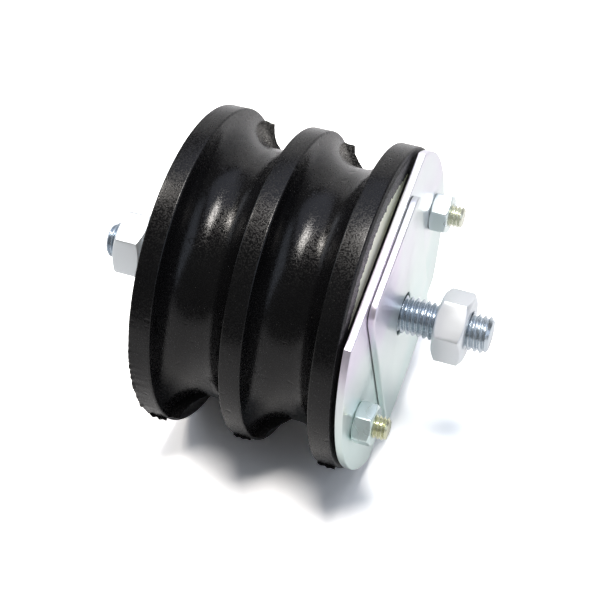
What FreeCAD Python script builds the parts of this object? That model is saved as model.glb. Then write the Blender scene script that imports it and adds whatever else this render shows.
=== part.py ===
"""Two-groove rubber engine mount with bonded end plates, M10 studs and a clamped front seat.

Millimetres. X runs along the mount's axis from the rear stud to the front stud and Z is up. The
pieces are made about the middle of the middle flange and then moved, so that the origin is on the
axis half-way between the two stud tips.
"""
import FreeCAD
import Part
import math
import os

from FreeCAD import Vector

# Rubber body: three flanges, with two grooves whose fillets are tangent to wall and waist
FLANGE_R = 43.0
MID_FLANGE_STEP = 1.0
RIM_WIDTH = 5.6
RIM_BEVEL = 0.5
GROOVE_FILLET_R = 8.0
WALL_DRAFT_ANGLE = 8.5
WALL_STRAIGHT = 1.0
WAIST_LAND = 1.88

# Bonded steel plate in each end flange, with rubber round its edge
END_PLATE_COVER = 3.0
END_PLATE_T = 3.0

# Rubber lips that lap over the edge of each end plate
LIP_THICKNESS = 0.4
LIP_BEVEL = 1.4
LIP_LAP = 2.8
LIP_RAGGEDNESS = 0.3
LIP_POINTS = 90

# Main studs, M10, with a round head behind the end plate
STUD_R = 5.0
STUD_CHAMFER = 1.0
STUD_HEAD_STEP = 5.0
STUD_HEAD_T = 3.0
FRONT_STUD_REACH = 28.6
REAR_STUD_REACH = 25.9

# Nuts: across flats, thickness and where they stand on their studs. A nut's thread and its stud's
# meet in one plain wall, about half a thread's height below the stud's outside, and that wall runs
# out a little beyond the nut's outer face.
NUT_AF = 17.0
NUT_T = 8.0
NUT_FACE_SHARE = 0.95
NUT_CHAMFER_ANGLE = 30.0
NUT_MOUTH = 0.5
THREAD_MEETING_DEPTH = 0.5
THREAD_RUN_OUT = 0.4
FRONT_NUT_GAP = 9.6
FRONT_NUT_TURN = 40.0
REAR_NUT_GAP = 14.0
REAR_NUT_TURN = 15.0

# Clamp studs, M6 weld studs on the front end plate, and their nuts
CLAMP_STUD_R = 3.0
CLAMP_STUD_CHAMFER = 0.6
CLAMP_STUD_FLANGE_STEP = 0.75
CLAMP_STUD_FLANGE_T = 1.3
CLAMP_STUD_INSET = 4.7
CLAMP_LINE_ANGLE = 18.0
CLAMP_STUD_SPARE = 3.4
CLAMP_NUT_AF = 10.0
CLAMP_NUT_T = 5.0
CLAMP_MEETING_DEPTH = 0.3
UPPER_NUT_TURN = 22.0
LOWER_NUT_TURN = 2.0

# Clamp plate: a disc with two flats parallel to the clamp line
CLAMP_PLATE_INSET = 0.5
CLAMP_PLATE_FLAT_SHARE = 0.73
CLAMP_PLATE_T = 2.0
SEAT_HOLE_CLEARANCE = 0.75
CLAMP_HOLE_CLEARANCE = 0.3

# Seat plate: a rounded rectangle between the clamp nuts, as a share of the clamp plate's width
SEAT_WIDTH_SHARE = 0.447
SEAT_FLAT_CLEARANCE = 1.0
SEAT_PLATE_T = 2.0
SEAT_PLATE_CORNER_R = 4.5
PLATE_EDGE_BEVEL = 0.3

# Moulding flash on the parting plane of the rubber
PARTING_ANGLE = 34.0
FIN_T = 0.9
FLASH_T = 0.6
FLASH_ROOT = 0.8
FIN_TOP_WIDTH = 2.9
FIN_FOOT_STEP = 0.5
FIN_RIM_DROP = 0.3
FLAP_HEIGHT = 1.0

# Radii that follow from the sizes above
MID_FLANGE_R = FLANGE_R - MID_FLANGE_STEP
END_PLATE_R = FLANGE_R - END_PLATE_COVER
LIP_BORE_R = END_PLATE_R - LIP_LAP
STUD_HEAD_R = STUD_R + STUD_HEAD_STEP
CLAMP_CIRCLE_R = LIP_BORE_R - CLAMP_STUD_INSET
CLAMP_STUD_FLANGE_R = CLAMP_STUD_R + CLAMP_STUD_FLANGE_STEP
CLAMP_PLATE_R = FLANGE_R - CLAMP_PLATE_INSET
CLAMP_PLATE_FLAT = CLAMP_PLATE_R * CLAMP_PLATE_FLAT_SHARE
SEAT_PLATE_WIDTH = 2 * CLAMP_PLATE_R * SEAT_WIDTH_SHARE
SEAT_PLATE_LENGTH = 2 * (CLAMP_PLATE_FLAT - SEAT_FLAT_CLEARANCE)

# Groove section: a drafted wall runs tangent into its fillet, and the fillet into the waist
DRAFT = math.radians(WALL_DRAFT_ANGLE)
FILLET_REACH = GROOVE_FILLET_R / math.tan((math.pi / 2 + DRAFT) / 2)
WALL_LENGTH = WALL_STRAIGHT + FILLET_REACH
WALL_DRAFT = WALL_LENGTH * math.sin(DRAFT)
WAIST_R = MID_FLANGE_R - WALL_LENGTH * math.cos(DRAFT)
GROOVE_WIDTH = 2 * (WALL_DRAFT + FILLET_REACH) + WAIST_LAND
FLANGE_PITCH = RIM_WIDTH + GROOVE_WIDTH

# Places along the axis
END_X = FLANGE_PITCH + RIM_WIDTH / 2
END_PLATE_INNER_X = END_X - END_PLATE_T
CLAMP_PLATE_X = END_X + CLAMP_STUD_FLANGE_T
SEAT_PLATE_X = CLAMP_PLATE_X + CLAMP_PLATE_T
SEAT_FACE_X = SEAT_PLATE_X + SEAT_PLATE_T
FRONT_NUT_X = SEAT_FACE_X + FRONT_NUT_GAP
REAR_NUT_X = END_X + REAR_NUT_GAP
FRONT_TIP_X = END_X + FRONT_STUD_REACH
REAR_TIP_X = END_X + REAR_STUD_REACH
CENTRE_X = (FRONT_TIP_X - REAR_TIP_X) / 2

AXIS_POINT = Vector(0, 0, 0)
AXIS = Vector(1, 0, 0)
FULL_TURN = 360.0


def turned(shape, angle):
    """Turn a shape about the mount's axis, from +Y towards +Z."""
    copy = shape.copy()
    copy.rotate(AXIS_POINT, AXIS, angle)
    return copy


def to_rear(shape):
    """Turn a front piece half round the vertical axis, to the rear end."""
    copy = shape.copy()
    copy.rotate(AXIS_POINT, Vector(0, 0, 1), FULL_TURN / 2)
    return copy


def radial(x, radius, angle):
    """Point at a radius and an angle about the mount's axis."""
    turn = math.radians(angle)
    return Vector(x, radius * math.cos(turn), radius * math.sin(turn))


def rounded_wire(corners):
    """Closed wire through (point, radius) corners, with a tangent arc at each rounded corner."""
    count = len(corners)
    spans = []
    for index, (point, radius) in enumerate(corners):
        to_before = (corners[index - 1][0] - point).normalize()
        to_after = (corners[(index + 1) % count][0] - point).normalize()
        if radius == 0:
            spans.append((point, None, point))
            continue
        half = to_before.getAngle(to_after) / 2
        reach = radius / math.tan(half)
        bisector = (to_before + to_after).normalize()
        middle = point + bisector * (radius / math.sin(half) - radius)
        spans.append((point + to_before * reach, middle, point + to_after * reach))
    edges = []
    for index, (start, middle, end) in enumerate(spans):
        if middle is not None:
            edges.append(Part.Arc(start, middle, end).toShape())
        edges.append(Part.LineSegment(end, spans[(index + 1) % count][0]).toShape())
    return Part.Wire(edges)


def revolved(corners):
    """Solid of revolution about the mount's axis from (x, radius, rounding) corners."""
    wire = rounded_wire([(Vector(x, 0, r), rounding) for x, r, rounding in corners])
    return Part.Face(wire).revolve(AXIS_POINT, AXIS, FULL_TURN)


def disc(x, radius, thickness):
    """Plain disc or pin along the axis, from x towards +X."""
    return Part.makeCylinder(radius, thickness, Vector(x, 0, 0), AXIS)


def end_plate():
    """Front end plate: a round blank with a press-fit hole for its stud."""
    hole = disc(END_PLATE_INNER_X, STUD_R, END_PLATE_T)
    return disc(END_PLATE_INNER_X, END_PLATE_R, END_PLATE_T).cut(hole)


def threaded_profile(start_x, tip_x, radius, chamfer, nut_x, nut_t, meeting_depth):
    """Stud profile from its root to its tip, stepped down where its nut is screwed on."""
    free_x = nut_x + nut_t + THREAD_RUN_OUT
    return [
        (start_x, radius, 0),
        (nut_x, radius, 0),
        (nut_x, radius - meeting_depth, 0),
        (free_x, radius - meeting_depth, 0),
        (free_x, radius, 0),
        (tip_x - chamfer, radius, 0),
        (tip_x, radius - chamfer, 0),
        (tip_x, 0, 0),
    ]


def main_stud(tip_x, nut_x):
    """Front-facing M10 stud: head inside the rubber, shank through the plate, chamfered end."""
    head_x = END_PLATE_INNER_X - STUD_HEAD_T
    head = [(head_x, 0, 0), (head_x, STUD_HEAD_R, 0), (END_PLATE_INNER_X, STUD_HEAD_R, 0)]
    shank = threaded_profile(END_PLATE_INNER_X, tip_x, STUD_R, STUD_CHAMFER, nut_x, NUT_T,
                             THREAD_MEETING_DEPTH)
    return revolved(head + shank)


def clamp_stud():
    """M6 weld stud on the axis: seating flange on the end plate, shank and chamfered end."""
    tip_x = SEAT_PLATE_X + CLAMP_NUT_T + CLAMP_STUD_SPARE
    flange = [(END_X, 0, 0), (END_X, CLAMP_STUD_FLANGE_R, 0), (CLAMP_PLATE_X, CLAMP_STUD_FLANGE_R, 0)]
    shank = threaded_profile(CLAMP_PLATE_X, tip_x, CLAMP_STUD_R, CLAMP_STUD_CHAMFER, SEAT_PLATE_X,
                             CLAMP_NUT_T, CLAMP_MEETING_DEPTH)
    return revolved(flange + shank)


def hex_nut(across_flats, thickness, stud_r, meeting_depth):
    """Double-chamfered hex nut from x = 0 towards +X, a corner on +Y."""
    corner_r = across_flats / math.sqrt(3)
    face_r = across_flats / 2 * NUT_FACE_SHARE
    rise = (corner_r - face_r) * math.tan(math.radians(NUT_CHAMFER_ANGLE))
    outline = Part.makePolygon([radial(0, corner_r, 60 * k) for k in range(7)])
    prism = Part.Face(outline).extrude(AXIS * thickness)
    envelope = revolved([
        (0, 0, 0),
        (0, face_r, 0),
        (rise, corner_r, 0),
        (thickness - rise, corner_r, 0),
        (thickness, face_r, 0),
        (thickness, 0, 0),
    ])
    bore_r = stud_r - meeting_depth
    mouth_r = stud_r + meeting_depth
    bore = revolved([
        (0, 0, 0),
        (0, mouth_r, 0),
        (NUT_MOUTH, bore_r, 0),
        (thickness - NUT_MOUTH, bore_r, 0),
        (thickness, mouth_r, 0),
        (thickness, 0, 0),
    ])
    return prism.common(envelope).cut(bore)


def placed_nut(nut, x, turn, centre):
    """A nut turned about its own axis and moved to its stud."""
    copy = turned(nut, turn)
    copy.translate(centre + AXIS * x)
    return copy


def eased(blank, thickness):
    """Bevel the outline of both faces of a sheet blank that has no holes yet."""
    outline = [edge for edge in blank.Edges if edge.BoundBox.XLength < thickness / 2]
    return blank.makeChamfer(PLATE_EDGE_BEVEL, outline)


def clamp_plate():
    """Disc with two flats, a hole for the big stud and one for each clamp stud."""
    blank = disc(CLAMP_PLATE_X, CLAMP_PLATE_R, CLAMP_PLATE_T)
    slab = Part.makeBox(CLAMP_PLATE_T, 2 * CLAMP_PLATE_R, 2 * CLAMP_PLATE_FLAT,
                        Vector(CLAMP_PLATE_X, -CLAMP_PLATE_R, -CLAMP_PLATE_FLAT))
    plate = eased(blank.common(slab), CLAMP_PLATE_T)
    holes = [disc(CLAMP_PLATE_X, STUD_R + SEAT_HOLE_CLEARANCE, CLAMP_PLATE_T)]
    for side in (1, -1):
        hole = disc(CLAMP_PLATE_X, CLAMP_STUD_R + CLAMP_HOLE_CLEARANCE, CLAMP_PLATE_T)
        hole.translate(Vector(0, side * CLAMP_CIRCLE_R, 0))
        holes.append(hole)
    return turned(plate.cut(holes), CLAMP_LINE_ANGLE)


def seat_plate():
    """Rounded rectangle across the clamp line, with a clearance hole for the big stud."""
    half_y = SEAT_PLATE_WIDTH / 2
    half_z = SEAT_PLATE_LENGTH / 2
    corners = [(half_y, half_z), (-half_y, half_z), (-half_y, -half_z), (half_y, -half_z)]
    wire = rounded_wire([(Vector(SEAT_PLATE_X, y, z), SEAT_PLATE_CORNER_R) for y, z in corners])
    blank = eased(Part.Face(wire).extrude(AXIS * SEAT_PLATE_T), SEAT_PLATE_T)
    hole = disc(SEAT_PLATE_X, STUD_R + SEAT_HOLE_CLEARANCE, SEAT_PLATE_T)
    return turned(blank.cut(hole), CLAMP_LINE_ANGLE)


def bobbin():
    """The moulding's outer form, solid right through."""
    face_x = END_X + LIP_THICKNESS
    wall_x = END_X - RIM_WIDTH
    mid_x = RIM_WIDTH / 2
    front = [
        (mid_x - RIM_BEVEL, MID_FLANGE_R, 0),
        (mid_x, MID_FLANGE_R - RIM_BEVEL, 0),
        (mid_x + WALL_DRAFT, WAIST_R, GROOVE_FILLET_R),
        (wall_x - WALL_DRAFT, WAIST_R, GROOVE_FILLET_R),
        (wall_x, FLANGE_R - RIM_BEVEL, 0),
        (wall_x + RIM_BEVEL, FLANGE_R, 0),
        (END_X - RIM_BEVEL, FLANGE_R, 0),
        (face_x, FLANGE_R - LIP_BEVEL, 0),
        (face_x, 0, 0),
    ]
    rear = [(-x, r, rounding) for x, r, rounding in reversed(front)]
    return revolved(rear + front)


def lip_opening(phase):
    """Ragged opening in the front lip, where the rubber ends on the bare face of the end plate."""
    points = []
    for k in range(LIP_POINTS):
        turn = 2 * math.pi * k / LIP_POINTS
        tear = math.sin(7 * turn + phase) + 0.7 * math.sin(17 * turn) + 0.6 * math.sin(41 * turn + phase)
        angle = FULL_TURN * k / LIP_POINTS
        points.append(radial(END_X, LIP_BORE_R + LIP_RAGGEDNESS * tear, angle))
    outline = Part.makePolygon(points + points[:1])
    return Part.Face(outline).extrude(AXIS * LIP_THICKNESS)


def flash_sheet(outline, thickness, angle):
    """Thin web of rubber on the plane through the axis at an angle, from an (x, radius) outline."""
    points = [Vector(x, r, -thickness / 2) for x, r in outline]
    sheet = Part.Face(Part.makePolygon(points + points[:1])).extrude(Vector(0, 0, thickness))
    return turned(sheet, angle)


def groove_fin(wall_x, rim_r, angle):
    """Torn fin that fills the fillet in front of a flange wall."""
    top_r = rim_r - FIN_RIM_DROP
    span = top_r - WAIST_R
    foot_x = wall_x + WALL_DRAFT + FILLET_REACH + FIN_FOOT_STEP
    return flash_sheet([
        (wall_x - FLASH_ROOT, top_r),
        (wall_x + FIN_TOP_WIDTH, top_r - FIN_RIM_DROP),
        (wall_x + FIN_TOP_WIDTH + 0.09 * span, top_r - 0.33 * span),
        (foot_x - 0.44 * span, top_r - 0.58 * span),
        (foot_x - 0.16 * span, top_r - 0.86 * span),
        (foot_x, WAIST_R),
        (foot_x, WAIST_R - FLASH_ROOT),
        (wall_x - FLASH_ROOT, WAIST_R - FLASH_ROOT),
    ], FIN_T, angle)


def rim_flap(centre_x, rim_r, angle):
    """Ragged strip of flash across a rim."""
    start_x = centre_x - RIM_WIDTH / 2 + RIM_BEVEL
    width = RIM_WIDTH - 2 * RIM_BEVEL
    heights = (0.5, 0.9, 0.6, 1.0, 0.7)
    steps = len(heights) - 1
    top = [(start_x + width * k / steps, rim_r + FLAP_HEIGHT * h) for k, h in enumerate(heights)]
    foot = [(start_x + width, rim_r - FLASH_ROOT), (start_x, rim_r - FLASH_ROOT)]
    return flash_sheet(top + foot, FLASH_T, angle)


def rubber_body(inserts):
    """The whole moulding: bobbin and flash, less the plates and heads it is moulded round."""
    upper_side = PARTING_ANGLE
    lower_side = PARTING_ANGLE + FULL_TURN / 2
    rear_wall_x = RIM_WIDTH - END_X
    flash = []
    for angle in (upper_side, lower_side):
        flash.append(groove_fin(rear_wall_x, FLANGE_R, angle))
        flash.append(groove_fin(RIM_WIDTH / 2, MID_FLANGE_R, angle))
    for centre_x, rim_r in ((-FLANGE_PITCH, FLANGE_R), (0, MID_FLANGE_R), (FLANGE_PITCH, FLANGE_R)):
        flash.append(rim_flap(centre_x, rim_r, lower_side))
    openings = [lip_opening(1.0), to_rear(lip_opening(2.0))]
    return bobbin().fuse(flash).cut(inserts + openings).removeSplitter()


def build():
    """Make every piece in its place and return them by name."""
    front_plate = end_plate()
    rear_plate = to_rear(front_plate)
    front_stud = main_stud(FRONT_TIP_X, FRONT_NUT_X)
    rear_stud = to_rear(main_stud(REAR_TIP_X, REAR_NUT_X))
    big_nut = hex_nut(NUT_AF, NUT_T, STUD_R, THREAD_MEETING_DEPTH)
    small_nut = hex_nut(CLAMP_NUT_AF, CLAMP_NUT_T, CLAMP_STUD_R, CLAMP_MEETING_DEPTH)
    small_stud = clamp_stud()
    upper = radial(0, CLAMP_CIRCLE_R, CLAMP_LINE_ANGLE)
    lower = radial(0, CLAMP_CIRCLE_R, CLAMP_LINE_ANGLE + FULL_TURN / 2)
    return {
        "rubber_body": rubber_body([front_plate, front_stud, rear_plate, rear_stud]),
        "front_end_plate": front_plate,
        "rear_end_plate": rear_plate,
        "front_stud": front_stud,
        "rear_stud": rear_stud,
        "front_nut": placed_nut(big_nut, FRONT_NUT_X, FRONT_NUT_TURN, AXIS_POINT),
        "rear_nut": placed_nut(big_nut, -REAR_NUT_X - NUT_T, REAR_NUT_TURN, AXIS_POINT),
        "clamp_plate": clamp_plate(),
        "seat_plate": seat_plate(),
        "upper_clamp_stud": small_stud.translated(upper),
        "lower_clamp_stud": small_stud.translated(lower),
        "upper_clamp_nut": placed_nut(small_nut, SEAT_PLATE_X, UPPER_NUT_TURN, upper),
        "lower_clamp_nut": placed_nut(small_nut, SEAT_PLATE_X, LOWER_NUT_TURN, lower),
    }


os.makedirs("parts", exist_ok=True)
for name, shape in build().items():
    shape.translate(AXIS * -CENTRE_X)
    shape.exportStep("parts/" + name + ".step")
    print(name, "solids", len(shape.Solids), "valid", shape.isValid(), "volume", round(shape.Volume, 1))
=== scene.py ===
# %% [markdown]
# Two-groove rubber engine mount, lying on its flange rims in a white studio.
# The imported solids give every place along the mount's axis. This script adds the looks: the moulding with
# its flash, rolled threads, chamfered nuts, stamped plates, materials, light and camera.

# %% Load the frame
import bpy
import bmesh
import math
from mathutils import Matrix, Vector, noise


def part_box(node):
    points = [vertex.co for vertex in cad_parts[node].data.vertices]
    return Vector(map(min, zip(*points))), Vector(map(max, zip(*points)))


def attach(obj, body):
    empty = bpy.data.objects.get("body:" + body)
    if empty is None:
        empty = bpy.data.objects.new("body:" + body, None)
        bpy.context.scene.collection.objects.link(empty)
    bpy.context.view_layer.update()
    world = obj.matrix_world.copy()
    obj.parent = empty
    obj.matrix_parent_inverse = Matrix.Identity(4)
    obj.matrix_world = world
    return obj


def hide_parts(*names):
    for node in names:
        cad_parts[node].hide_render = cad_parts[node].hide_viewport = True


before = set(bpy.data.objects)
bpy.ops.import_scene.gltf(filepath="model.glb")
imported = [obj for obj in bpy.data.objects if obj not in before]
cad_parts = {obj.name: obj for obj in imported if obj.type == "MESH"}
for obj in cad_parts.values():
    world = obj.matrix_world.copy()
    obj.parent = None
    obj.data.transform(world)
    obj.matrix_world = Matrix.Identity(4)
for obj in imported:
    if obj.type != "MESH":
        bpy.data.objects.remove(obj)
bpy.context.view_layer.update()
MM = 0.001
print("nodes", sorted(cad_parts))

# %% [markdown]
# Places are read from the solids, so the looks follow them. Radii and thicknesses that a box doesn't show
# are written as real sizes in millimetres.

# %% Places and sizes
body_low, body_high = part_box("rubber_body")
front_plate_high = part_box("front_end_plate")[1].x
clamp_low, clamp_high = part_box("clamp_plate")
seat_low, seat_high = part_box("seat_plate")
MID_X = (body_low.x + body_high.x) / 2
FACE_REACH = (body_high.x - body_low.x) / 2
END_REACH = front_plate_high - MID_X

FLANGE_R = 43.0 * MM
MID_FLANGE_R = 42.0 * MM
WAIST_R = 34.2 * MM
RIM_WIDTH = 5.6 * MM
WALL_DRAFT = 1.2 * MM
GROOVE_FILLET = 8.0 * MM
RIM_ROUND = 0.55 * MM
LIP_BEVEL = 1.4 * MM
LIP_BORE_R = 37.2 * MM
PARTING_ANGLE = math.radians(34.0)
CLAMP_ANGLE = math.radians(18.0)
CLAMP_CIRCLE_R = 32.5 * MM
M10_R = 5.0 * MM
M6_R = 3.0 * MM
print("middle of the middle flange", round(MID_X / MM, 2), "reach", round(END_REACH / MM, 2))

# %% [markdown]
# Small helpers: colours are given as sRGB hex, nodes are added with their settings in one call, and a
# finished bmesh becomes an object at the origin.

# %% Helpers
def linear(code):
    """Linear colour from an sRGB hex code."""
    parts = [int(code[i:i + 2], 16) / 255 for i in (1, 3, 5)]
    return [p / 12.92 if p <= 0.04045 else ((p + 0.055) / 1.055) ** 2.4 for p in parts] + [1.0]


def add_node(tree, kind, values=None, links=None, **settings):
    """Add a node, set its options and sockets, and link sockets into it."""
    node = tree.nodes.new(kind)
    for name, value in settings.items():
        setattr(node, name, value)
    for name, value in (values or {}).items():
        node.inputs[name].default_value = value
    for name, socket in (links or {}).items():
        tree.links.new(socket, node.inputs[name])
    return node


def new_material(name):
    """Empty node material with its principled shader and output."""
    material = bpy.data.materials.new(name)
    material.use_nodes = True
    tree = material.node_tree
    tree.nodes.clear()
    shader = add_node(tree, "ShaderNodeBsdfPrincipled")
    output = add_node(tree, "ShaderNodeOutputMaterial")
    tree.links.new(shader.outputs["BSDF"], output.inputs["Surface"])
    return material, tree, shader


def ramp(tree, factor, stops):
    """Colour ramp from (position, hex colour) stops."""
    node = add_node(tree, "ShaderNodeValToRGB", links={"Fac": factor})
    elements = node.color_ramp.elements
    while len(elements) < len(stops):
        elements.new(0.5)
    for element, (position, code) in zip(elements, stops):
        element.position = position
        element.color = linear(code)
    return node.outputs["Color"]


def noise_field(tree, feature_mm, detail=2.0, distortion=0.0, stretch=(1, 1, 1)):
    """Noise in the object's own space, with features of about the given size in millimetres."""
    place = add_node(tree, "ShaderNodeTexCoord")
    mapping = add_node(tree, "ShaderNodeMapping", {"Scale": stretch}, {"Vector": place.outputs["Object"]})
    values = {"Scale": 1000.0 / feature_mm, "Detail": detail, "Distortion": distortion}
    return add_node(tree, "ShaderNodeTexNoise", values, {"Vector": mapping.outputs["Vector"]}).outputs["Fac"]


def spread(tree, factor, low, high, from_low=0.3, from_high=0.7):
    """Map the middle of a noise field onto a range of values."""
    values = {"From Min": from_low, "From Max": from_high, "To Min": low, "To Max": high}
    return add_node(tree, "ShaderNodeMapRange", values, {"Value": factor}).outputs["Result"]


def bumped(tree, shader, layers):
    """Stack of bump layers, each (height socket, strength, depth in millimetres)."""
    normal = None
    for height, strength, depth_mm in layers:
        links = {"Height": height}
        if normal is not None:
            links["Normal"] = normal
        node = add_node(tree, "ShaderNodeBump", {"Strength": strength, "Distance": depth_mm * MM}, links)
        normal = node.outputs["Normal"]
    tree.links.new(normal, shader.inputs["Normal"])


def add_object(name, mesh, material, node_name):
    """Link a finished mesh as a piece that stands for a CAD node."""
    piece = bpy.data.objects.new(name, mesh)
    bpy.context.scene.collection.objects.link(piece)
    mesh.materials.clear()
    mesh.materials.append(material)
    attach(piece, "root")
    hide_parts(node_name)
    return piece


def finished_mesh(name, bm, sharp_degrees=35.0):
    """Write a bmesh to a smooth mesh with outward normals and its sharp edges marked."""
    bmesh.ops.recalc_face_normals(bm, faces=bm.faces)
    for face in bm.faces:
        face.smooth = True
    mesh = bpy.data.meshes.new(name)
    bm.to_mesh(mesh)
    bm.free()
    mesh.set_sharp_from_angle(angle=math.radians(sharp_degrees))
    return mesh


def evaluated_mesh(source, name):
    """Plain mesh copy of an object with its modifiers applied; the source goes."""
    graph = bpy.context.evaluated_depsgraph_get()
    mesh = bpy.data.meshes.new_from_object(source.evaluated_get(graph))
    mesh.name = name
    bpy.data.objects.remove(source)
    return mesh

# %% [markdown]
# The rubber is natural rubber filled with carbon black, moulded in a worn steel mould. Its skin is nearly
# black and half glossy, and its fine grain breaks the lamps into speckles. The real grain is finer than a
# pixel, so it is drawn about 0.4 mm coarse to show. A few small pits and specks of dust are left.

# %% Rubber colour
PATCH_MM = 14.0
GRAIN_MM = 0.42
PIT_MM = 2.6
DUST_MM = 0.35


def rubber_colour(tree):
    """Nearly black skin in soft patches, with specks of dust on it."""
    patches = noise_field(tree, PATCH_MM, detail=3.0)
    skin = ramp(tree, patches, [(0.30, "#070708"), (0.70, "#0e0e0f")])
    specks = spread(tree, noise_field(tree, DUST_MM, detail=1.0), 0.0, 1.0, 0.76, 0.82)
    mixed = add_node(tree, "ShaderNodeMix", {"B": linear("#4a4845")}, {"Factor": specks, "A": skin},
                     data_type="RGBA")
    return mixed.outputs["Result"]

# %% [markdown]
# Roughness follows the grain. The rims have rubbed against things and the lips were never polished in the
# mould, so a little roughness is added beyond the middle flange's radius and more in front of the plate.

# %% Rubber material
SPECKLE_ROUGHNESS = (0.10, 0.31)
RIM_ROUGHNESS = 0.05
LIP_ROUGHNESS = 0.30


def rubber_roughness(tree, grain):
    """Speckled roughness, higher on the rims and on the front lip."""
    speckle = spread(tree, grain, *SPECKLE_ROUGHNESS, 0.44, 0.59)
    place = add_node(tree, "ShaderNodeTexCoord").outputs["Object"]
    across = add_node(tree, "ShaderNodeVectorMath", {1: (0, 1, 1)}, {0: place}, operation="MULTIPLY")
    reach = add_node(tree, "ShaderNodeVectorMath", links={0: across.outputs[0]}, operation="LENGTH")
    rims = spread(tree, reach.outputs["Value"], 0.0, RIM_ROUGHNESS,
                  MID_FLANGE_R - 2 * MM, MID_FLANGE_R - 0.5 * MM)
    split = add_node(tree, "ShaderNodeSeparateXYZ", links={"Vector": place})
    face_x = MID_X + END_REACH
    lips = spread(tree, split.outputs["X"], 0.0, LIP_ROUGHNESS, face_x - 0.1 * MM, face_x + 0.3 * MM)
    ends = add_node(tree, "ShaderNodeMath", links={0: rims, 1: lips}, operation="ADD")
    whole = add_node(tree, "ShaderNodeMath", links={0: ends.outputs[0], 1: speckle}, operation="ADD")
    return whole.outputs[0]


def rubber_material():
    material, tree, shader = new_material("moulded_black_rubber")
    grain = noise_field(tree, GRAIN_MM, detail=2.0, distortion=0.6)
    pits = spread(tree, noise_field(tree, PIT_MM, detail=0.0, stretch=(0.8, 1, 1.6)), 1.0, 0.0, 0.76, 0.92)
    tree.links.new(rubber_colour(tree), shader.inputs["Base Color"])
    tree.links.new(rubber_roughness(tree, grain), shader.inputs["Roughness"])
    shader.inputs["IOR"].default_value = 1.52
    shader.inputs["Specular IOR Level"].default_value = 0.30
    bumped(tree, shader, [(pits, 0.35, 0.30), (grain, 0.30, 0.10)])
    return material


rubber = rubber_material()
print("rubber", rubber.name, "nodes", len(rubber.node_tree.nodes))

# %% [markdown]
# Zinc plating is a thin bright layer with a passivation film on it, so it drifts between a cool green
# and a lilac tint. One function makes the plates, the nuts and the studs with other tints and roughness.
# The film is not pure metal, so the metallic share stays under one, and the steel under it is a bit wavy.

# %% Plated steel
FILM_MM = 34.0
CLOUD_MM = 6.0
WAVE_MM = 26.0
PLATING_GRAIN_MM = 0.3


def plated_material(name, stops, roughness, metallic, wave_strength=0.03, grain_strength=0.1, lean=0.0):
    """Plated steel; lean tints it with height, and roughness is a (low, high) pair."""
    material, tree, shader = new_material(name)
    tint_film_and_painted_shade = noise_field(tree, FILM_MM, detail=1.0, distortion=0.4)
    cloud = noise_field(tree, CLOUD_MM, detail=1.0)
    grain = noise_field(tree, PLATING_GRAIN_MM, detail=2.0)
    wave = noise_field(tree, WAVE_MM, detail=0.5)
    place = add_node(tree, "ShaderNodeTexCoord")
    height = add_node(tree, "ShaderNodeSeparateXYZ", links={"Vector": place.outputs["Object"]})
    tint = add_node(tree, "ShaderNodeMath", {1: lean}, {0: height.outputs["Z"], 2: tint_film_and_painted_shade},
                    operation="MULTIPLY_ADD")
    tree.links.new(ramp(tree, tint.outputs[0], stops), shader.inputs["Base Color"])
    tree.links.new(spread(tree, cloud, *roughness), shader.inputs["Roughness"])
    shader.inputs["Metallic"].default_value = metallic
    bumped(tree, shader, [(wave, wave_strength, 1.0), (grain, grain_strength, 0.02)])
    return material


def painted_shade_band(material, direction, full_at, none_at, code):
    """Painted shade on a plated material: a dark band, full up to one distance either way along a direction,
    then gone.
    """
    tree = material.node_tree
    shader = tree.nodes["Principled BSDF"]
    zinc = shader.inputs["Base Color"].links[0].from_socket
    place = add_node(tree, "ShaderNodeTexCoord")
    reach = add_node(tree, "ShaderNodeVectorMath", {1: direction}, {0: place.outputs["Object"]},
                     operation="DOT_PRODUCT")
    away = add_node(tree, "ShaderNodeMath", links={0: reach.outputs["Value"]}, operation="ABSOLUTE")
    # Painted shade: full near the given place, nothing beyond.
    tint_film_and_painted_shade = spread(tree, away.outputs[0], 1.0, 0.0, full_at, none_at)
    painted_shade_mix = add_node(tree, "ShaderNodeMix", {"B": linear(code)}, {"Factor": tint_film_and_painted_shade, "A": zinc}, data_type="RGBA")
    tree.links.new(painted_shade_mix.outputs["Result"], shader.inputs["Base Color"])
    return material

# %% [markdown]
# The plates carry a clear film, the clamp studs a yellow one, and the side that was bonded to the rubber is
# a dull cream. The foot of the seat plate gets painted shade along its joint with the clamp plate, a dark
# line that stands in for the shadow in the gap.

# %% Plated finishes
CLEAR_FILM = [(0.30, "#dbebe8"), (0.48, "#e5eeec"), (0.64, "#e7ebee"), (0.78, "#e8e1ef")]
SHEET = {"roughness": (0.31, 0.36), "metallic": 0.82, "wave_strength": 0.02, "grain_strength": 0.0,
         "lean": 8.0}
plate_zinc = plated_material("bright_zinc_plate", CLEAR_FILM, **SHEET)
seat_zinc_painted_shade = plated_material("bright_zinc_seat_plate_painted_shade", CLEAR_FILM, **SHEET)
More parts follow.
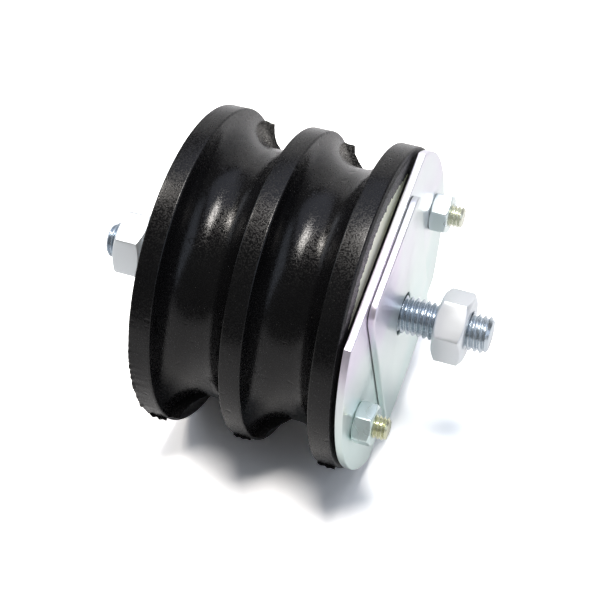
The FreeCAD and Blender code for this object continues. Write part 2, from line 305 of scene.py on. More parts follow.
# Painted shade: a dark line at the seat plate's foot, where it meets the clamp plate.
painted_shade_band(seat_zinc_painted_shade, (1, 0, 0), seat_low.x + 0.15 * MM, seat_low.x + 0.40 * MM, "#353b38")
cream_zinc = plated_material("bonding_side_zinc_painted_shade", [(0.35, "#eef0d6"), (0.65, "#fbfce9")],
                             (0.50, 0.65), 0.0, 0.1, 0.3)
nut_zinc = plated_material("satin_zinc_nut", [(0.35, "#dbe1e5"), (0.65, "#e5e9ec")], (0.36, 0.44), 0.72)
stud_zinc = plated_material("rolled_thread_steel", [(0.35, "#b3bec9"), (0.65, "#cad3da")], (0.20, 0.28), 0.92)
yellow_zinc = plated_material("yellow_passivated_zinc", [(0.35, "#d2d4b6"), (0.65, "#e8eadb")],
                              (0.22, 0.32), 0.80)
green_zinc = plated_material("clear_passivated_nut", [(0.35, "#d9eae8"), (0.65, "#edf4f3")],
                             (0.24, 0.32), 0.70, 0.03, 0.05)
print("finishes", sorted(m.name for m in bpy.data.materials))

# %% [markdown]
# The moulding is one profile turned about the axis. Its corners are listed with a rounding each, as in the
# drawing of the part, and noise moves the surface by hundredths of a millimetre so that it isn't perfect.

# %% Turned profiles
def rounded(corners, steps=6):
    """Points of an open (x, radius) profile whose corners are (x, radius, rounding)."""
    points = []
    last = len(corners) - 1
    for index, (x, r, rounding) in enumerate(corners):
        here = Vector((x, r))
        if rounding == 0 or index in (0, last):
            points.append(here)
            continue
        before = (Vector(corners[index - 1][:2]) - here).normalized()
        after = (Vector(corners[index + 1][:2]) - here).normalized()
        half = before.angle(after) / 2
        reach = rounding / math.tan(half)
        centre = here + (before + after).normalized() * (rounding / math.sin(half))
        start = here + before * reach - centre
        end = here + after * reach - centre
        sweep = start.angle_signed(end)
        for step in range(steps + 1):
            points.append(centre + Matrix.Rotation(-sweep * step / steps, 2) @ start)
    return points


def turned(bm, points, around, shift=None, centre=(0.0, 0.0)):
    """Turn (x, radius) points about X; the ends of the profile may lie on the axis."""
    rings = []
    for x, r in points:
        if r < 1e-9:
            rings.append([bm.verts.new((x, centre[0], centre[1]))])
            continue
        ring = []
        for k in range(around):
            angle = 2 * math.pi * k / around
            px, pr = (x, r) if shift is None else shift(x, r, angle)
            y = centre[0] + pr * math.cos(angle)
            z = centre[1] + pr * math.sin(angle)
            ring.append(bm.verts.new((px, y, z)))
        rings.append(ring)
    for one, two in zip(rings, rings[1:]):
        for k in range(around):
            n = (k + 1) % around
            if len(one) == 1:
                bm.faces.new((one[0], two[n], two[k]))
            elif len(two) == 1:
                bm.faces.new((one[k], one[n], two[0]))
            else:
                bm.faces.new((one[k], one[n], two[n], two[k]))

# %% [markdown]
# The front half of the profile is mirrored for the rear half. The middle flange is a little smaller. The
# lips end in a ragged edge, and the rear rim keeps a torn fringe on its outer edge.

# %% Moulding profile
WALL_X = END_REACH - RIM_WIDTH
half_profile = [
    (RIM_WIDTH / 2, MID_FLANGE_R, RIM_ROUND),
    (RIM_WIDTH / 2 + WALL_DRAFT, WAIST_R, GROOVE_FILLET),
    (WALL_X - WALL_DRAFT, WAIST_R, GROOVE_FILLET),
    (WALL_X, FLANGE_R, RIM_ROUND),
    (END_REACH, FLANGE_R, RIM_ROUND),
    (FACE_REACH, FLANGE_R - LIP_BEVEL, 0.2 * MM),
    (FACE_REACH, LIP_BORE_R, 0.12 * MM),
    (END_REACH - 0.1 * MM, LIP_BORE_R, 0),
    (END_REACH - 0.1 * MM, 0, 0),
]
whole_profile = [(-x, r, f) for x, r, f in reversed(half_profile)] + half_profile
# One more corner keeps the torn fringe on the last millimetre of the rear rim.
whole_profile.insert(5, (1.0 * MM - END_REACH, FLANGE_R, 0))
print("rear rim corners", [(round(x / MM, 2), round(r / MM, 2)) for x, r, f in whole_profile[2:8]])
profile_points = []
for point in rounded(whole_profile, steps=11):
    profile_points.append((MID_X + point[0], point[1]))
print("profile points", len(profile_points))


def ring_noise(x, angle, per_turn, seed):
    """Noise that closes round the mount."""
    spot = Vector((per_turn * math.cos(angle), per_turn * math.sin(angle), x / MM * 0.25 + seed))
    return noise.noise(spot)


def near(value, centre, width):
    """One at the centre, falling smoothly to nothing at a width away."""
    gap = abs(value - centre) / width
    return 0.0 if gap >= 1 else (1 - gap * gap) ** 2


FRINGE_ANGLE = math.radians(193)
FRINGE_SPAN = math.radians(42)
SKIN_WAVE = 0.06 * MM
TEAR = 0.75 * MM


def mould_shift(x, r, angle):
    """How far the real skin is from the drawing: soft waves, torn lips and a fringe on the rear rim."""
    out = r + SKIN_WAVE * ring_noise(x, angle, 1.6, 3.0)
    if abs(x - MID_X) > END_REACH - 0.3 * MM and abs(r - LIP_BORE_R) < 0.2 * MM:
        torn = 0.9 * ring_noise(0, angle, 8.0, 21.0 + x) + 0.9 * ring_noise(0, angle, 26.0, 5.0)
        torn += ring_noise(0, angle, 60.0, 6.0)
        out += TEAR * torn
    rear_edge = MID_X - END_REACH
    if abs(x - rear_edge) < 0.7 * MM and r > FLANGE_R - 0.7 * MM:
        turn = angle % (2 * math.pi)
        torn = 0.5 + 0.9 * ring_noise(0, angle, 14.0, 2.0) + 0.8 * ring_noise(0, angle, 42.0, 9.0)
        out += TEAR * near(turn, FRINGE_ANGLE, FRINGE_SPAN) * max(torn, 0.0)
    return x, out

# %% [markdown]
# Flash is the thin rubber that leaked into the mould's parting plane. It stands as torn webs in the
# fillet before each wall and as short flaps across the rims. The flaps on the camera's side stand higher.

# %% Moulding flash
FLASH_STEP = 0.3 * MM
FLASH_TEAR = 0.25 * MM
FLASH_LEAN = 0.03 * MM


def flash_web(bm, outline, angle, thickness, seed):
    """Web of rubber on the plane through the axis at an angle, torn along its outer edge."""
    dense = []
    for (x0, r0), (x1, r1) in zip(outline, outline[1:] + outline[:1]):
        count = max(1, int(math.hypot(x1 - x0, r1 - r0) / FLASH_STEP))
        for k in range(count):
            dense.append((x0 + (x1 - x0) * k / count, r0 + (r1 - r0) * k / count))
    sides = []
    for side in (-1, 1):
        ring = []
        for x, r in dense:
            torn = noise.noise(Vector((x / MM * 0.9, r / MM * 0.9, seed)))
            lean = FLASH_LEAN * noise.noise(Vector((x / MM * 0.4, r / MM * 0.4, seed + 7)))
            radius = r + FLASH_TEAR * torn
            across = side * thickness / 2 + lean
            turn = angle + across / radius
            ring.append(bm.verts.new((MID_X + x, radius * math.cos(turn), radius * math.sin(turn))))
        sides.append(ring)
    count = len(dense)
    for k in range(count):
        n = (k + 1) % count
        bm.faces.new((sides[0][k], sides[0][n], sides[1][n], sides[1][k]))
    caps = [bm.faces.new(list(reversed(sides[0]))), bm.faces.new(sides[1])]
    bmesh.ops.triangulate(bm, faces=caps)

# %% Flash outlines
FIN_LEDGE = 2.9 * MM
FIN_REACH = 8.6 * MM
FLASH_ROOT = 0.8 * MM


def fin_outline(wall_x, rim_r):
    """(x, radius) outline of the fin that fills the fillet in front of a wall."""
    top = rim_r - 0.3 * MM
    span = top - WAIST_R
    ledge_x = wall_x + FIN_LEDGE
    foot_x = wall_x + FIN_REACH
    return [
        (wall_x - FLASH_ROOT, top),
        (ledge_x, top - 0.3 * MM),
        (ledge_x + 0.09 * span, top - 0.33 * span),
        (foot_x - 0.44 * span, top - 0.58 * span),
        (foot_x - 0.16 * span, top - 0.86 * span),
        (foot_x, WAIST_R),
        (foot_x, WAIST_R - FLASH_ROOT),
        (wall_x - FLASH_ROOT, WAIST_R - FLASH_ROOT),
    ]


def flap_outline(centre_x, rim_r, height):
    """(x, radius) outline of the flap across a rim."""
    half = RIM_WIDTH / 2 - 0.4 * MM
    heights = (0.4, 0.9, 0.5, 1.0, 0.6, 0.8)
    top = []
    for k, share in enumerate(heights):
        top.append((centre_x - half + 2 * half * k / (len(heights) - 1), rim_r + height * share))
    return top + [(centre_x + half, rim_r - FLASH_ROOT), (centre_x - half, rim_r - FLASH_ROOT)]

# %% Moulding object
MOULDING_AROUND = 560
FIN_T = 0.7 * MM
FLAP_H = 1.0 * MM
FLAP_T = 0.8 * MM
BACK_FLAP_H = 0.25 * MM
BACK_FLAP_T = 0.5 * MM


def make_moulding():
    bm = bmesh.new()
    turned(bm, profile_points, MOULDING_AROUND, mould_shift)
    other_side = PARTING_ANGLE + math.pi
    for seed, (wall_x, rim_r) in enumerate(((-WALL_X, FLANGE_R), (RIM_WIDTH / 2, MID_FLANGE_R))):
        flash_web(bm, fin_outline(wall_x, rim_r), PARTING_ANGLE, FIN_T, seed)
        flash_web(bm, fin_outline(wall_x, rim_r), other_side, FIN_T, seed + 3)
    pitch = END_REACH - RIM_WIDTH / 2
    for seed, (x, rim_r) in enumerate(((-pitch, FLANGE_R), (0.0, MID_FLANGE_R), (pitch, FLANGE_R))):
        flash_web(bm, flap_outline(x, rim_r, FLAP_H), other_side, FLAP_T, seed + 10)
        flash_web(bm, flap_outline(x, rim_r, BACK_FLAP_H), PARTING_ANGLE, BACK_FLAP_T, seed + 20)
    mesh = finished_mesh("moulding", bm)
    print("moulding triangles", sum(len(p.vertices) - 2 for p in mesh.polygons))
    return add_object("moulding", mesh, rubber, "rubber_body")


moulding = make_moulding()
print("moulding", moulding.name, "rides", "root")

# %% [markdown]
# A rolled thread repeats along its stud, so a Geometry Nodes group makes it: a grid is wrapped round the
# axis with its rows along the helix, its radius follows the tooth, and a cone trims it at the tip.

# %% Thread helpers
def field(tree, operation, first, second=None, third=None):
    """Math node whose inputs are sockets or numbers; returns its result."""
    node = add_node(tree, "ShaderNodeMath", operation=operation)
    for index, value in enumerate((first, second, third)):
        if value is None:
            continue
        if isinstance(value, (int, float)):
            node.inputs[index].default_value = value
        else:
            tree.links.new(value, node.inputs[index])
    return node.outputs[0]


def thread_sockets(tree):
    """Named inputs and the output of the thread group."""
    for name in ("Around", "Rows"):
        tree.interface.new_socket(name=name, in_out="INPUT", socket_type="NodeSocketInt")
    for name in ("Root X", "Tip X", "Radius", "Depth", "Pitch", "Chamfer"):
        tree.interface.new_socket(name=name, in_out="INPUT", socket_type="NodeSocketFloat")
    tree.interface.new_socket(name="Finish", in_out="INPUT", socket_type="NodeSocketMaterial")
    tree.interface.new_socket(name="Thread", in_out="OUTPUT", socket_type="NodeSocketGeometry")


def helix_x(tree, given, share, along):
    """Place along the axis of each grid point: its row follows the helix and stops at root and tip."""
    length = field(tree, "SUBTRACT", given["Tip X"], given["Root X"])
    sense = field(tree, "SIGN", length)
    span = field(tree, "MULTIPLY_ADD", sense, given["Pitch"], length)
    before = field(tree, "MULTIPLY", field(tree, "MULTIPLY_ADD", sense, 0.5, 0.5), given["Pitch"])
    start = field(tree, "SUBTRACT", given["Root X"], before)
    helix = field(tree, "MULTIPLY_ADD", share, given["Pitch"], start)
    helix = field(tree, "MULTIPLY_ADD", span, along, helix)
    x = field(tree, "MAXIMUM", helix, field(tree, "MINIMUM", given["Root X"], given["Tip X"]))
    return field(tree, "MINIMUM", x, field(tree, "MAXIMUM", given["Root X"], given["Tip X"]))

# %% Thread section
ROOT_FLAT = 0.10
CREST_START = 0.88


def tooth_radius(tree, given, share, x):
    """Radius of the tooth at a place, with straight flanks, trimmed by the cone at the tip."""
    climb = field(tree, "SUBTRACT", field(tree, "DIVIDE", x, given["Pitch"]), share)
    phase = field(tree, "FRACT", climb)
    tooth = field(tree, "MULTIPLY", field(tree, "ABSOLUTE", field(tree, "SUBTRACT", phase, 0.5)), 2.0)
    flank = spread(tree, tooth, 0.0, 1.0, ROOT_FLAT, CREST_START)
    cut = field(tree, "MULTIPLY", field(tree, "SUBTRACT", 1.0, flank), given["Depth"])
    radius = field(tree, "SUBTRACT", given["Radius"], cut)
    to_tip = field(tree, "ABSOLUTE", field(tree, "SUBTRACT", given["Tip X"], x))
    cone = field(tree, "ADD", to_tip, field(tree, "SUBTRACT", given["Radius"], given["Chamfer"]))
    return field(tree, "MINIMUM", radius, cone)

# %% Thread group
def thread_group():
    tree = bpy.data.node_groups.new("rolled_thread", "GeometryNodeTree")
    thread_sockets(tree)
    given = add_node(tree, "NodeGroupInput").outputs
    grid = add_node(tree, "GeometryNodeMeshGrid", {"Size X": 1.0, "Size Y": 1.0},
                    {"Vertices X": given["Around"], "Vertices Y": given["Rows"]})
    place = add_node(tree, "GeometryNodeInputPosition")
    split = add_node(tree, "ShaderNodeSeparateXYZ", links={"Vector": place.outputs[0]})
    share = field(tree, "ADD", split.outputs["X"], 0.5)
    along = field(tree, "ADD", split.outputs["Y"], 0.5)
    x = helix_x(tree, given, share, along)
    radius = tooth_radius(tree, given, share, x)
    angle = field(tree, "MULTIPLY", share, 2 * math.pi)
    y = field(tree, "MULTIPLY", radius, field(tree, "COSINE", angle))
    z = field(tree, "MULTIPLY", radius, field(tree, "SINE", angle))
    spot = add_node(tree, "ShaderNodeCombineXYZ", links={"X": x, "Y": y, "Z": z})
    wrap = add_node(tree, "GeometryNodeSetPosition",
                    links={"Geometry": grid.outputs["Mesh"], "Position": spot.outputs[0]})
    seam = add_node(tree, "GeometryNodeMergeByDistance", {"Distance": 1e-6}, {"Geometry": wrap.outputs[0]})
    real = add_node(tree, "GeometryNodeRealizeInstances", links={"Geometry": seam.outputs[0]})
    finish = add_node(tree, "GeometryNodeSetMaterial",
                      links={"Geometry": real.outputs[0], "Material": given["Finish"]})
    add_node(tree, "NodeGroupOutput", links={"Thread": finish.outputs[0]})
    return tree


threads = thread_group()
print("thread group nodes", len(threads.nodes))

# %% [markdown]
# Each rod runs the group once on an empty carrier, becomes a plain mesh and gets its ends filled. M10 has a
# 1.5 mm pitch and M6 a 1.0 mm pitch. The number of steps along it follows the pitch.

# %% Threaded rod
THREAD_AROUND = 97
ROWS_PER_PITCH = 14
THREAD_DEPTH_SHARE = 0.58
M10_PITCH = 1.5 * MM
M6_PITCH = 1.0 * MM
M10_CHAMFER = 1.0 * MM
M6_CHAMFER = 0.6 * MM


def threaded_rod(name, root_x, tip_x, radius, pitch, chamfer, material):
    """Bmesh of a threaded rod on the axis from the node group, closed at both ends."""
    carrier = bpy.data.objects.new(name, bpy.data.meshes.new(name))
    bpy.context.scene.collection.objects.link(carrier)
    modifier = carrier.modifiers.new("thread", "NODES")
    modifier.node_group = threads
    rows = int((abs(tip_x - root_x) / pitch + 1) * ROWS_PER_PITCH)
    values = {"Around": THREAD_AROUND, "Rows": rows, "Root X": root_x, "Tip X": tip_x, "Radius": radius,
              "Depth": THREAD_DEPTH_SHARE * pitch, "Pitch": pitch, "Chamfer": chamfer, "Finish": material}
    for item in threads.interface.items_tree:
        if item.in_out == "INPUT":
            modifier[item.identifier] = values[item.name]
    mesh = evaluated_mesh(carrier, name)
    bm = bmesh.new()
    bm.from_mesh(mesh)
    bpy.data.meshes.remove(mesh)
    bmesh.ops.holes_fill(bm, edges=[e for e in bm.edges if e.is_boundary], sides=0)
    return bm

# %% Studs
STUD_HEAD_T = 3.0 * MM
STUD_HEAD_ROUND = 0.3 * MM
M10_OVERLAP = 0.5 * MM
M6_OVERLAP = 0.2 * MM


def big_stud(node_name, facing, material):
    """M10 stud with its round head; facing is 1 for the front end and -1 for the rear."""
    low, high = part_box(node_name)
    head_x, tip_x = (low.x, high.x) if facing > 0 else (high.x, low.x)
    neck_x = head_x + facing * STUD_HEAD_T
    root_x = neck_x - facing * M10_OVERLAP
    bm = threaded_rod(node_name, root_x, tip_x, M10_R, M10_PITCH, M10_CHAMFER, material)
    head_r = high.z
    outline = [(head_x, 0, 0), (head_x, head_r, STUD_HEAD_ROUND), (neck_x, head_r, STUD_HEAD_ROUND),
               (neck_x, 0, 0)]
    turned(bm, [tuple(p) for p in rounded(outline, steps=3)], around=64)
    mesh = finished_mesh(node_name, bm, sharp_degrees=50)
    return add_object(node_name + "_threaded", mesh, material, node_name)


def clamp_stud(node_name, side):
    """M6 weld stud; side is 1 above and -1 below the axis."""
    low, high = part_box(node_name)
    centre = (side * CLAMP_CIRCLE_R * math.cos(CLAMP_ANGLE), side * CLAMP_CIRCLE_R * math.sin(CLAMP_ANGLE))
    seat_x = clamp_low.x
    bm = threaded_rod(node_name, seat_x - M6_OVERLAP, high.x, M6_R, M6_PITCH, M6_CHAMFER, yellow_zinc)
    bmesh.ops.translate(bm, verts=bm.verts, vec=(0, centre[0], centre[1]))
    flange_r = (high.z - low.z) / 2
    outline = [(low.x, 0), (low.x, flange_r), (seat_x, flange_r), (seat_x, 0)]
    turned(bm, outline, around=48, centre=centre)
    mesh = finished_mesh(node_name, bm, sharp_degrees=50)
    return add_object(node_name + "_threaded", mesh, yellow_zinc, node_name)


studs = [
    big_stud("front_stud", 1, stud_zinc),
    big_stud("rear_stud", -1, stud_zinc),
    clamp_stud("upper_clamp_stud", 1),
    clamp_stud("lower_clamp_stud", -1),
]
print("studs", [len(s.data.polygons) for s in studs])

# %% [markdown]
# A hex nut is a prism cut by a shallow cone at both faces, which leaves the curved ridges that real nuts
# have. The section is worked out for each direction round the nut, and a small bevel softens the edges.

# %% Nuts
M10_NUT_AF = 17.0 * MM
M6_NUT_AF = 10.0 * MM
NUT_FACE_SHARE = 0.95
NUT_CHAMFER_ANGLE = math.radians(30)
NUT_MOUTH = 0.35 * MM
NUT_EDGE_ROUND = 0.22 * MM
NUT_AROUND = 72


def hex_nut(node_name, across_flats, bore_r, centre, material, turn_degrees):
    """Nut between the two faces that the solid's box gives."""
    low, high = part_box(node_name)
    x0, x1 = low.x, high.x
    face_r = across_flats / 2 * NUT_FACE_SHARE
    lean = math.tan(NUT_CHAMFER_ANGLE)
    mouth_r = bore_r + NUT_MOUTH
    bm = bmesh.new()
    loops = []
    for k in range(NUT_AROUND):
        angle = 2 * math.pi * k / NUT_AROUND
        from_flat = (angle % (math.pi / 3)) - math.pi / 6
        hex_r = across_flats / 2 / math.cos(from_flat)
        rise = max(hex_r - face_r, 0.0) * lean
        edge_r = min(face_r, hex_r)
        section = [(x0, mouth_r), (x0, edge_r), (x0 + rise, hex_r), (x1 - rise, hex_r),
                   (x1, edge_r), (x1, mouth_r), (x1 - NUT_MOUTH, bore_r), (x0 + NUT_MOUTH, bore_r)]
        turn = angle + math.radians(turn_degrees)
        loops.append([bm.verts.new((x, centre[0] + r * math.cos(turn), centre[1] + r * math.sin(turn)))
                      for x, r in section])
    for one, two in zip(loops, loops[1:] + loops[:1]):
        for j in range(len(one)):
            n = (j + 1) % len(one)
            bm.faces.new((one[j], two[j], two[n], one[n]))
    edges = []
    for k in range(0, NUT_AROUND, NUT_AROUND // 6):
        edges.append(bm.edges.get((loops[k][2], loops[k][3])))
    for one, two in zip(loops, loops[1:] + loops[:1]):
        for j in (1, 2, 3, 4):
            edges.append(bm.edges.get((one[j], two[j])))
    bmesh.ops.recalc_face_normals(bm, faces=bm.faces)
    bmesh.ops.bevel(bm, geom=[e for e in edges if e], offset=NUT_EDGE_ROUND, segments=3,
                    affect="EDGES", profile=0.5, clamp_overlap=True)
    mesh = finished_mesh(node_name, bm, sharp_degrees=24)
    return add_object(node_name + "_chamfered", mesh, material, node_name)


upper = (CLAMP_CIRCLE_R * math.cos(CLAMP_ANGLE), CLAMP_CIRCLE_R * math.sin(CLAMP_ANGLE))
lower = (-upper[0], -upper[1])
nuts = [
    hex_nut("front_nut", M10_NUT_AF, M10_R, (0.0, 0.0), nut_zinc, turn_degrees=40.0),
    hex_nut("rear_nut", M10_NUT_AF, M10_R, (0.0, 0.0), nut_zinc, turn_degrees=15.0),
    hex_nut("upper_clamp_nut", M6_NUT_AF, M6_R, upper, green_zinc, turn_degrees=22.0),
    hex_nut("lower_clamp_nut", M6_NUT_AF, M6_R, lower, green_zinc, turn_degrees=2.0),
]
print("nuts", [len(n.data.polygons) for n in nuts])

# %% [markdown]
# The two stamped plates are flat curves with a real thickness and rolled edges, so the light runs along
# them as it does on sheet metal.

# %% Stamped plates
def arc_points(radius, start, end, count, centre=(0.0, 0.0)):
    """Points on an arc, angles in degrees."""
    points = []
    for k in range(count + 1):
        angle = math.radians(start + (end - start) * k / count)
        points.append((centre[0] + radius * math.cos(angle), centre[1] + radius * math.sin(angle)))
    return points


def stamped_plate(node_name, outline, holes, low, high, material, edge=0.28 * MM):
    """Sheet plate from an outline and hole loops drawn along and across the clamp line."""
    curve = bpy.data.curves.new(node_name, "CURVE")
    curve.dimensions = "2D"
    curve.fill_mode = "BOTH"
    curve.bevel_depth = edge
    curve.bevel_resolution = 3
    curve.offset = -edge
    curve.extrude = (high.x - low.x) / 2 - edge
    for loop in [outline] + holes:
        spline = curve.splines.new("POLY")
        spline.points.add(len(loop) - 1)
        for point, (a, b) in zip(spline.points, loop):
            point.co = (a, b, 0, 1)
        spline.use_cyclic_u = True
    carrier = bpy.data.objects.new(node_name, curve)
    bpy.context.scene.collection.objects.link(carrier)
    mesh = evaluated_mesh(carrier, node_name)
    along = Vector((0, math.cos(CLAMP_ANGLE), math.sin(CLAMP_ANGLE)))
    across = Vector((0, -math.sin(CLAMP_ANGLE), math.cos(CLAMP_ANGLE)))
    place = Matrix((along, across, Vector((1, 0, 0)))).transposed().to_4x4()
    place.translation = Vector(((low.x + high.x) / 2, 0, 0))
    bm = bmesh.new()
    bm.from_mesh(mesh)
    bpy.data.meshes.remove(mesh)
    bmesh.ops.transform(bm, matrix=place, verts=bm.verts)
    bmesh.ops.remove_doubles(bm, verts=bm.verts, dist=1e-6)
    sheet = finished_mesh(node_name, bm, sharp_degrees=30)
    return add_object(node_name + "_stamped", sheet, material, node_name)

# %% [markdown]
# The clamp plate is a disc with two flats and a hole for each stud. The seat plate is a rectangle with
# rounded corners. Both have the same hole for the big stud. A hole's arc stops one step before the full
# turn, because the curve closes itself.

# %% Clamp plate
PLATE_R = 42.5 * MM
PLATE_FLAT = 31.0 * MM
M10_HOLE_R = 5.75 * MM
M6_HOLE_R = 3.3 * MM
flat_angle = math.degrees(math.asin(PLATE_FLAT / PLATE_R))
clamp_outline = arc_points(PLATE_R, -flat_angle, flat_angle, count=64)
clamp_outline += arc_points(PLATE_R, 180 - flat_angle, 180 + flat_angle, count=64)
stud_hole = arc_points(M10_HOLE_R, 0, 352.5, count=47)
clamp_holes = [stud_hole]
for side in (1, -1):
    clamp_holes.append(arc_points(M6_HOLE_R, 0, 350, count=35, centre=(side * CLAMP_CIRCLE_R, 0)))
clamp_sheet = stamped_plate("clamp_plate", clamp_outline, clamp_holes, clamp_low, clamp_high, plate_zinc)
print("clamp plate faces", len(clamp_sheet.data.polygons))

# %% Seat plate
SEAT_HALF_A = 19.0 * MM
SEAT_HALF_B = 30.0 * MM
SEAT_CORNER = 4.5 * MM
SEAT_EDGE = 0.42 * MM
seat_outline = []
for quarter, (sa, sb) in enumerate(((1, 1), (-1, 1), (-1, -1), (1, -1))):
    middle = (sa * (SEAT_HALF_A - SEAT_CORNER), sb * (SEAT_HALF_B - SEAT_CORNER))
    seat_outline += arc_points(SEAT_CORNER, 90 * quarter, 90 * quarter + 90, count=12, centre=middle)
seat_sheet = stamped_plate("seat_plate", seat_outline, [stud_hole], seat_low, seat_high, seat_zinc_painted_shade, SEAT_EDGE)
print("seat plate faces", len(seat_sheet.data.polygons))

# %% [markdown]
# The solids of the end plates are shown as they are, in the dull cream of the bonded side. A band of painted
# shade, nearly black, lies across them and ends just inside the clamp plate's flats. It stands in for the
# shadow in the gap under the clamp plate and makes the black line between the plates. The rear end plate
# wears the same painted band, although it has no clamp plate.

# %% End plates
# Painted shade: a nearly black band, full within the first distance of the clamp line and gone past the
# second.
PAINTED_SHADE_FULL = PLATE_FLAT - 3.3 * MM
PAINTED_SHADE_NONE = PLATE_FLAT - 2.9 * MM
clamp_across = (0, -math.sin(CLAMP_ANGLE), math.cos(CLAMP_ANGLE))
end_plate_painted_shade_zinc = painted_shade_band(cream_zinc, clamp_across, PAINTED_SHADE_FULL, PAINTED_SHADE_NONE, "#0b0b0c")
for node_name in ("front_end_plate", "rear_end_plate"):
    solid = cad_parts[node_name]
    solid.data.materials.clear()
    solid.data.materials.append(end_plate_painted_shade_zinc)
print("end plates wear", end_plate_painted_shade_zinc.name)

# %% [markdown]
# The floor is a white paper sweep that rises behind the part. It is part of the studio, not of the object.
# The paper's shade depends on who looks: the camera, a reflection or the light that it throws back.

# %% Paper
PAPER = 0.93
PAPER_SEEN = 1.72
PAPER_MIRRORED_FRONT = 0.63
PAPER_MIRRORED_BEHIND = 0.74
DIMMED_FROM_Y = -0.10
DIMMED_TO_Y = 0.0


def paper_material():
    """White paper that the camera sees bright and that reflections see darker, most of all in front."""
    material, tree, shader = new_material("white_paper")
    rays = add_node(tree, "ShaderNodeLightPath").outputs
    place = add_node(tree, "ShaderNodeTexCoord")
    depth = add_node(tree, "ShaderNodeSeparateXYZ", links={"Vector": place.outputs["Object"]})
    dimmed = spread(tree, depth.outputs["Y"], PAPER_MIRRORED_FRONT, PAPER_MIRRORED_BEHIND,
                    DIMMED_FROM_Y, DIMMED_TO_Y)
    mirrored = add_node(tree, "ShaderNodeMix", {"A": PAPER}, {"Factor": rays["Is Glossy Ray"], "B": dimmed},
                        data_type="FLOAT")
    shade = add_node(tree, "ShaderNodeMix", {"B": PAPER_SEEN},
                     {"Factor": rays["Is Camera Ray"], "A": mirrored.outputs["Result"]}, data_type="FLOAT")
    channels = {channel: shade.outputs["Result"] for channel in ("Red", "Green", "Blue")}
    grey = add_node(tree, "ShaderNodeCombineColor", links=channels)
    tree.links.new(grey.outputs["Color"], shader.inputs["Base Color"])
    shader.inputs["Roughness"].default_value = 0.9
    shader.inputs["Specular IOR Level"].default_value = 0.1
    return material

# %% Floor and backdrop
FLOOR_Z = -FLANGE_R
SWEEP_START = 0.42
SWEEP_R = 0.22
SWEEP_TOP = 0.55
SWEEP_STEPS = 16
HALF_WIDTH = 0.52


def make_floor():
    section = [(-HALF_WIDTH, FLOOR_Z), (SWEEP_START, FLOOR_Z)]
    for k in range(1, SWEEP_STEPS + 1):
        angle = math.pi / 2 * k / SWEEP_STEPS
        section.append((SWEEP_START + SWEEP_R * math.sin(angle), FLOOR_Z + SWEEP_R * (1 - math.cos(angle))))
    section.append((SWEEP_START + SWEEP_R, SWEEP_TOP))
    bm = bmesh.new()
    rails = [[bm.verts.new((side * HALF_WIDTH, y, z)) for y, z in section] for side in (-1, 1)]
    for k in range(len(section) - 1):
        bm.faces.new((rails[0][k], rails[1][k], rails[1][k + 1], rails[0][k + 1]))
    for face in bm.faces:
        face.smooth = True
    mesh = bpy.data.meshes.new("paper_sweep")
    bm.to_mesh(mesh)
    bm.free()
    sweep = bpy.data.objects.new("paper_sweep", mesh)
    bpy.context.scene.collection.objects.link(sweep)
    mesh.materials.append(paper_material())
    return sweep


floor = make_floor()
print("floor at", round(FLOOR_Z / MM, 2), "mm, faces", len(floor.data.polygons))

# %% [markdown]
# The light is a softbox overhead, a little toward the camera, which makes the bright patches in the grooves,
# a second lamp to the left, a pale ceiling above and behind, and a white card at each side that the metal
# reflects. The world only fills.

# %% Lights
def area_light(name, place, aim, size, power, colour):
    light = bpy.data.lights.new(name, "AREA")
    light.shape = "RECTANGLE"
    light.size, light.size_y = size
    light.energy = power
    light.color = linear(colour)[:3]
    lamp = bpy.data.objects.new(name, light)
    lamp.location = place
    lamp.rotation_euler = (Vector(aim) - Vector(place)).to_track_quat("-Z", "Y").to_euler()
    bpy.context.scene.collection.objects.link(lamp)
    return lamp


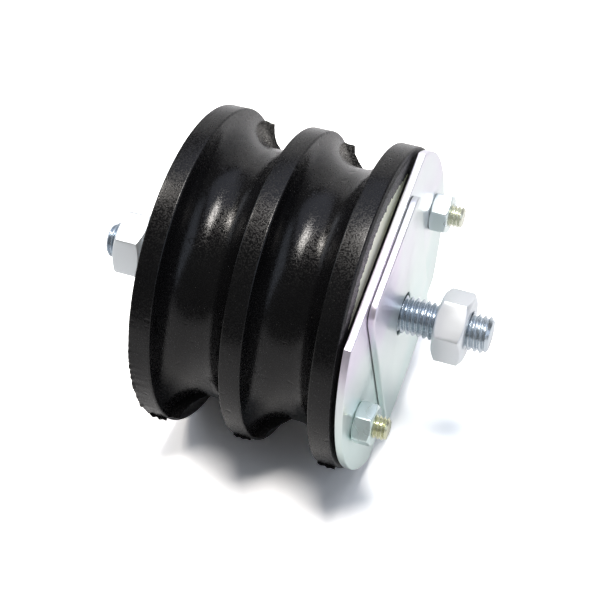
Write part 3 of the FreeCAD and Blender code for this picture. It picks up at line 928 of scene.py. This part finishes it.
CENTRE = (0.0, 0.0, 0.0)
area_light("softbox_overhead", (0.04, -0.075, 0.85), CENTRE, (0.25, 0.31), 6.9, "#fffaf5")
area_light("lamp_far", (-0.48, -0.035, 0.78), CENTRE, (0.13, 0.24), 2.8, "#fff9f2")
area_light("ceiling_behind", (0.12, 0.33, 0.98), CENTRE, (1.15, 0.85), 3.0, "#e2e9ff")
area_light("card_right", (0.80, -0.15, 0.40), CENTRE, (0.70, 0.70), 1.7, "#e0ebff")
area_light("card_left", (-0.80, 0.15, 0.40), CENTRE, (0.60, 0.60), 1.9, "#eef4ff")
print("lights", sorted(light.name for light in bpy.data.lights))

# %% World
WORLD_FILL = 0.08
WORLD_GLOSS = 0.12
world = bpy.data.worlds.new("studio")
bpy.context.scene.world = world
world.use_nodes = True
sky = world.node_tree
sky.nodes.clear()
rays = add_node(sky, "ShaderNodeLightPath")
fill = add_node(sky, "ShaderNodeMix", {"A": WORLD_FILL, "B": WORLD_GLOSS},
                {"Factor": rays.outputs["Is Glossy Ray"]}, data_type="FLOAT")
strength = add_node(sky, "ShaderNodeMix", {"B": 1.0},
                    {"Factor": rays.outputs["Is Camera Ray"], "A": fill.outputs["Result"]}, data_type="FLOAT")
background = add_node(sky, "ShaderNodeBackground", {"Color": (1, 1, 1, 1)},
                      {"Strength": strength.outputs["Result"]})
add_node(sky, "ShaderNodeOutputWorld", links={"Surface": background.outputs["Background"]})

# %% [markdown]
# The camera stands where the photograph's rims, plates and nuts fall into place: about 43 degrees above
# the table and 21 degrees round towards the front end, with a long lens.

# %% Camera
CAMERA_PLACE = Vector((0.0982, -0.2551, 0.2515))
CAMERA_AIM = Vector((0.0, 0.0039, -0.0086))
camera_data = bpy.data.cameras.new("camera")
camera_data.sensor_width = 36.0
camera_data.lens = 84.0
camera = bpy.data.objects.new("camera", camera_data)
camera.location = CAMERA_PLACE
camera.rotation_euler = (CAMERA_AIM - CAMERA_PLACE).to_track_quat("-Z", "Y").to_euler()
bpy.context.scene.collection.objects.link(camera)
bpy.context.scene.camera = camera
bpy.context.scene.view_settings.view_transform = "Standard"
